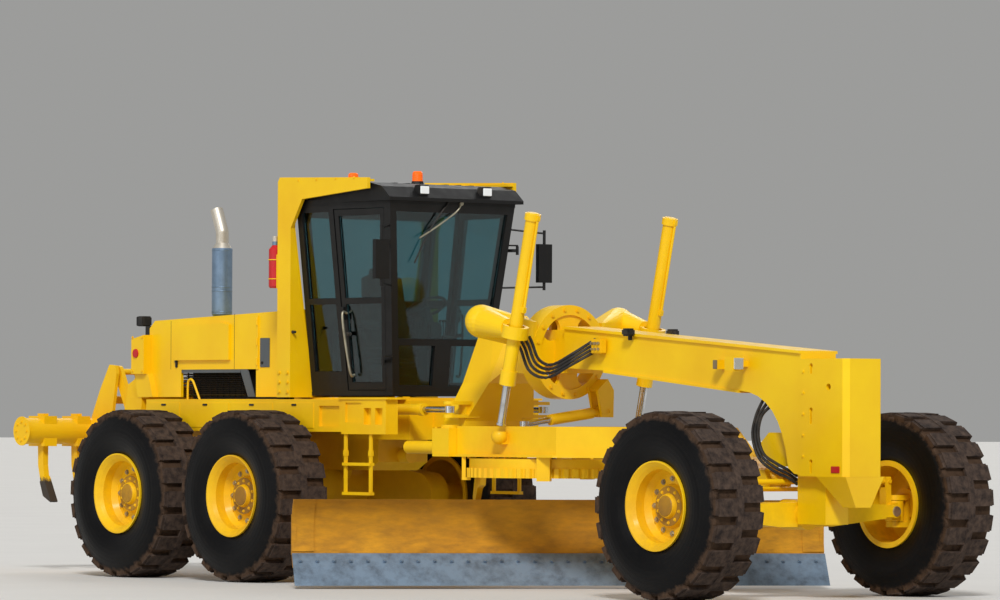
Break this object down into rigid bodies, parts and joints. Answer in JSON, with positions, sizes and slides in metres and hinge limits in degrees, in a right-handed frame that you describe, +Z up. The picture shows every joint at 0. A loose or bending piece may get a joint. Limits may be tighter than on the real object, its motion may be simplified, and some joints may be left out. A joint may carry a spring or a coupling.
{
  "type": "motor grader",
  "caption": "Articulated motor grader with a blade on a rotating circle, leaning steered front wheels, tandem rear wheels, closed cab and rear ripper.",
  "frame": {"origin": "ground level below the middle of the machine's length and width", "axes": "+X forward, +Y to the machine's left, +Z up"},
  "size_m": [11.33, 4.3894, 3.8348],
  "materials": {
    "paint": "glossy yellow paint with dust",
    "cab_paint": "satin black paint",
    "glass": "tinted",
    "tyre": "matt, dusty",
    "rim_paint": "yellow paint",
    "rod_chrome": "polished",
    "edge_steel": "worn bright",
    "exhaust_metal": "satin",
    "hose_rubber": "satin",
    "interior": "fine grain",
    "lamp_body": "moulded",
    "engine_paint": "satin"
  },
  "bodies": {
    "rear_frame": {"rear_frame": "paint", "tandem_cases": "paint", "side_platforms": "paint", "cab_shell": "cab_paint", "cab_glass": "glass", "rops_frame": "paint", "cab_interior": "interior", "hood": "paint", "engine_block": "engine_paint", "exhaust_stack": "exhaust_metal", "lamps": "lamp_body"},
    "right_door": {"door_r": "cab_paint", "door_r_glass": "glass"},
    "left_door": {"door_l": "cab_paint", "door_l_glass": "glass"},
    "front_frame": {"front_frame": "paint", "lift_ring": "paint", "axle_beam": "paint", "hoses": "hose_rubber"},
    "lean_right": {"lean_bracket_r": "paint"},
    "lean_left": {"lean_bracket_l": "paint"},
    "lean_bar": {"lean_bar": "paint"},
    "knuckle_right": {"knuckle_r": "paint"},
    "knuckle_left": {"knuckle_l": "paint"},
    "tie_rod": {"tie_rod": "paint"},
    "drawbar_pivot": {"drawbar_ball": "paint"},
    "drawbar": {"drawbar": "paint", "circle_drive": "paint"},
    "circle": {"circle_gear": "paint"},
    "blade_carrier": {"blade_arms": "paint"},
    "blade": {"moldboard": "paint", "cutting_edge": "edge_steel"},
    "lift_barrel_right": {"lift_barrel_r": "paint"},
    "lift_barrel_left": {"lift_barrel_l": "paint"},
    "lift_rod_right": {"lift_rod_r": "rod_chrome"},
    "lift_rod_left": {"lift_rod_l": "rod_chrome"},
    "shift_barrel": {"shift_barrel": "paint"},
    "shift_rod": {"shift_rod": "rod_chrome"},
    "hitch_barrel_right": {"art_barrel_r": "paint"},
    "hitch_barrel_left": {"art_barrel_l": "paint"},
    "hitch_rod_right": {"art_rod_r": "rod_chrome"},
    "hitch_rod_left": {"art_rod_l": "rod_chrome"},
    "ripper_arms": {"ripper_arms": "paint"},
    "ripper_beam": {"ripper_beam": "paint"},
    "ripper_link": {"ripper_link": "paint"},
    "ripper_barrel": {"ripper_barrel": "paint"},
    "ripper_rod": {"ripper_rod": "rod_chrome"},
    "wheel_front_right": {"tyre_fr": "tyre", "rim_fr": "rim_paint"},
    "wheel_front_left": {"tyre_fl": "tyre", "rim_fl": "rim_paint"},
    "wheel_middle_right": {"tyre_mr": "tyre", "rim_mr": "rim_paint"},
    "wheel_middle_left": {"tyre_ml": "tyre", "rim_ml": "rim_paint"},
    "wheel_rear_right": {"tyre_rr": "tyre", "rim_rr": "rim_paint"},
    "wheel_rear_left": {"tyre_rl": "tyre", "rim_rl": "rim_paint"}
  },
  "joints": [
    {"name": "right_door_hinge", "type": "hinge", "parent": "rear_frame", "child": "right_door", "pos_m": [0.005, -0.79, 2.6], "axis": [0, 0, 1], "range_deg": [0, 85]},
    {"name": "left_door_hinge", "type": "hinge", "parent": "rear_frame", "child": "left_door", "pos_m": [0.005, 0.79, 2.6], "axis": [0, 0, -1], "range_deg": [0, 85]},
    {"name": "articulation", "type": "hinge", "parent": "rear_frame", "child": "front_frame", "pos_m": [0.245, 0, 1.515], "axis": [0, 0, 1], "range_deg": [-25, 25]},
    {"name": "hitch_barrel_right_swing", "type": "hinge", "parent": "rear_frame", "child": "hitch_barrel_right", "pos_m": [-0.355, -0.55, 1.61], "axis": [0, 0, 1], "range_deg": [-10.6, 10.6]},
    {"name": "hitch_rod_right_slide", "type": "slide", "parent": "hitch_barrel_right", "child": "hitch_rod_right", "axis": [1, 0, 0], "range_m": [-0.239, 0.239]},
    {"name": "hitch_barrel_left_swing", "type": "hinge", "parent": "rear_frame", "child": "hitch_barrel_left", "pos_m": [-0.355, 0.55, 1.61], "axis": [0, 0, 1], "range_deg": [-10.6, 10.6]},
    {"name": "hitch_rod_left_slide", "type": "slide", "parent": "hitch_barrel_left", "child": "hitch_rod_left", "axis": [1, 0, 0], "range_m": [-0.239, 0.239]},
    {"name": "wheel_lean", "type": "hinge", "parent": "front_frame", "child": "lean_right", "pos_m": [4.795, -1.05, 0.74], "axis": [1, 0, 0], "range_deg": [-18, 18]},
    {"name": "left_lean", "type": "hinge", "parent": "front_frame", "child": "lean_left", "pos_m": [4.795, 1.05, 0.74], "axis": [1, 0, 0], "range_deg": [-18.1, 18.1]},
    {"name": "lean_bar_pivot", "type": "hinge", "parent": "lean_right", "child": "lean_bar", "pos_m": [4.795, -1.05, 1], "axis": [1, 0, 0], "range_deg": [-18.1, 18.1]},
    {"name": "steering", "type": "hinge", "parent": "lean_right", "child": "knuckle_right", "pos_m": [4.795, -1.15, 0.8], "axis": [0, 0, 1], "range_deg": [-43, 43]},
    {"name": "left_steering", "type": "hinge", "parent": "lean_left", "child": "knuckle_left", "pos_m": [4.795, 1.15, 0.8], "axis": [0, 0, 1], "range_deg": [-43.1, 43.1]},
    {"name": "tie_rod_slide", "type": "slide", "parent": "lean_bar", "child": "tie_rod", "axis": [0, 1, 0], "range_m": [-0.063, 0.063]},
    {"name": "front_right_wheel", "type": "hinge", "parent": "knuckle_right", "child": "wheel_front_right", "pos_m": [4.795, -1.325, 0.8], "axis": [0, 1, 0], "continuous": true},
    {"name": "front_left_wheel", "type": "hinge", "parent": "knuckle_left", "child": "wheel_front_left", "pos_m": [4.795, 1.325, 0.8], "axis": [0, 1, 0], "continuous": true},
    {"name": "middle_right_wheel", "type": "hinge", "parent": "rear_frame", "child": "wheel_middle_right", "pos_m": [-1.365, -1.245, 0.8], "axis": [0, 1, 0], "continuous": true},
    {"name": "middle_left_wheel", "type": "hinge", "parent": "rear_frame", "child": "wheel_middle_left", "pos_m": [-1.365, 1.245, 0.8], "axis": [0, 1, 0], "continuous": true},
    {"name": "rear_right_wheel", "type": "hinge", "parent": "rear_frame", "child": "wheel_rear_right", "pos_m": [-3.205, -1.245, 0.8], "axis": [0, 1, 0], "continuous": true},
    {"name": "rear_left_wheel", "type": "hinge", "parent": "rear_frame", "child": "wheel_rear_left", "pos_m": [-3.205, 1.245, 0.8], "axis": [0, 1, 0], "continuous": true},
    {"name": "drawbar_swing", "type": "hinge", "parent": "front_frame", "child": "drawbar_pivot", "pos_m": [4.495, 0, 1.02], "axis": [0, 0, 1], "range_deg": [-5, 5]},
    {"name": "drawbar_lift", "type": "hinge", "parent": "drawbar_pivot", "child": "drawbar", "pos_m": [4.495, 0, 1.02], "axis": [0, 1, 0], "range_deg": [-10, 6.5]},
    {"name": "lift_barrel_right_swing", "type": "hinge", "parent": "front_frame", "child": "lift_barrel_right", "pos_m": [1.945, -0.8, 2.3], "axis": [0.9731, 0, -0.2302], "range_deg": [-15, 15]},
    {"name": "lift_rod_right_slide", "type": "slide", "parent": "lift_barrel_right", "child": "lift_rod_right", "axis": [0.2302, 0, 0.9731], "range_m": [-0.48553, 0.31595]},
    {"name": "lift_barrel_left_swing", "type": "hinge", "parent": "front_frame", "child": "lift_barrel_left", "pos_m": [1.945, 0.8, 2.3], "axis": [0.9731, 0, -0.2302], "range_deg": [-15, 15]},
    {"name": "lift_rod_left_slide", "type": "slide", "parent": "lift_barrel_left", "child": "lift_rod_left", "axis": [0.2302, 0, 0.9731], "range_m": [-0.48553, 0.31595]},
    {"name": "shift_barrel_swing", "type": "hinge", "parent": "front_frame", "child": "shift_barrel", "pos_m": [1.81, 0.33, 1.6], "axis": [1, 0, 0], "range_deg": [-19.5, 27.5]},
    {"name": "shift_rod_slide", "type": "slide", "parent": "shift_barrel", "child": "shift_rod", "axis": [0, -0.9914, -0.1307], "range_m": [-0.2333, 0.2333]},
    {"name": "circle_turn", "type": "hinge", "parent": "drawbar", "child": "circle", "pos_m": [1.695, 0, 1.085], "axis": [0, 0, 1], "continuous": true},
    {"name": "blade_tip", "type": "hinge", "parent": "circle", "child": "blade_carrier", "pos_m": [1.40921, 0.165, 0.29], "axis": [0.5, 0.866, 0], "range_deg": [-5, 40]},
    {"name": "blade_shift", "type": "slide", "parent": "blade_carrier", "child": "blade", "axis": [0.5, 0.866, 0], "range_m": [-0.48, 0.48]},
    {"name": "ripper_lower", "type": "hinge", "parent": "rear_frame", "child": "ripper_arms", "pos_m": [-4.855, 0, 0.62], "axis": [0, -1, 0], "range_deg": [0, 75]},
    {"name": "ripper_beam_pivot", "type": "hinge", "parent": "ripper_arms", "child": "ripper_beam", "pos_m": [-5.283, 0, 1.4], "axis": [0, -1, 0], "range_deg": [-75.1, 0.1]},
    {"name": "ripper_link_pivot", "type": "hinge", "parent": "rear_frame", "child": "ripper_link", "pos_m": [-4.755, 0, 1.2], "axis": [0, -1, 0], "range_deg": [-0.1, 75.1]},
    {"name": "ripper_barrel_swing", "type": "hinge", "parent": "rear_frame", "child": "ripper_barrel", "pos_m": [-4.605, 0, 1.83], "axis": [0, -1, 0], "range_deg": [-1.6, 0.1]},
    {"name": "ripper_rod_slide", "type": "slide", "parent": "ripper_barrel", "child": "ripper_rod", "axis": [-0.4379, 0, -0.899], "range_m": [-0.001, 0.45588]}
  ],
  "couplings": [
    {"joint": "hitch_barrel_right_swing", "follows": "articulation", "ratio": 0.42},
    {"joint": "hitch_rod_right_slide", "follows": "articulation", "m_per_rad": 0.545},
    {"joint": "hitch_barrel_left_swing", "follows": "articulation", "ratio": 0.42},
    {"joint": "hitch_rod_left_slide", "follows": "articulation", "m_per_rad": -0.545},
    {"joint": "left_lean", "follows": "wheel_lean", "ratio": 1},
    {"joint": "lean_bar_pivot", "follows": "wheel_lean", "ratio": -1},
    {"joint": "left_steering", "follows": "steering", "ratio": 1},
    {"joint": "tie_rod_slide", "follows": "steering", "m_per_rad": -0.08},
    {"joint": "lift_barrel_right_swing", "follows": "drawbar_swing", "ratio": -2.8985},
    {"joint": "lift_rod_right_slide", "follows": "drawbar_lift", "m_per_rad": 2.7762},
    {"joint": "lift_barrel_left_swing", "follows": "drawbar_swing", "ratio": -2.8985},
    {"joint": "lift_rod_left_slide", "follows": "drawbar_lift", "m_per_rad": 2.7762},
    {"joint": "shift_barrel_swing", "follows": "drawbar_lift", "ratio": -2.7},
    {"joint": "shift_rod_slide", "follows": "drawbar_swing", "m_per_rad": 2.662},
    {"joint": "ripper_beam_pivot", "follows": "ripper_lower", "ratio": -1},
    {"joint": "ripper_link_pivot", "follows": "ripper_lower", "ratio": 1},
    {"joint": "ripper_barrel_swing", "follows": "ripper_lower", "ratio": -0.02},
    {"joint": "ripper_rod_slide", "follows": "ripper_lower", "m_per_rad": 0.3475}
  ]
}
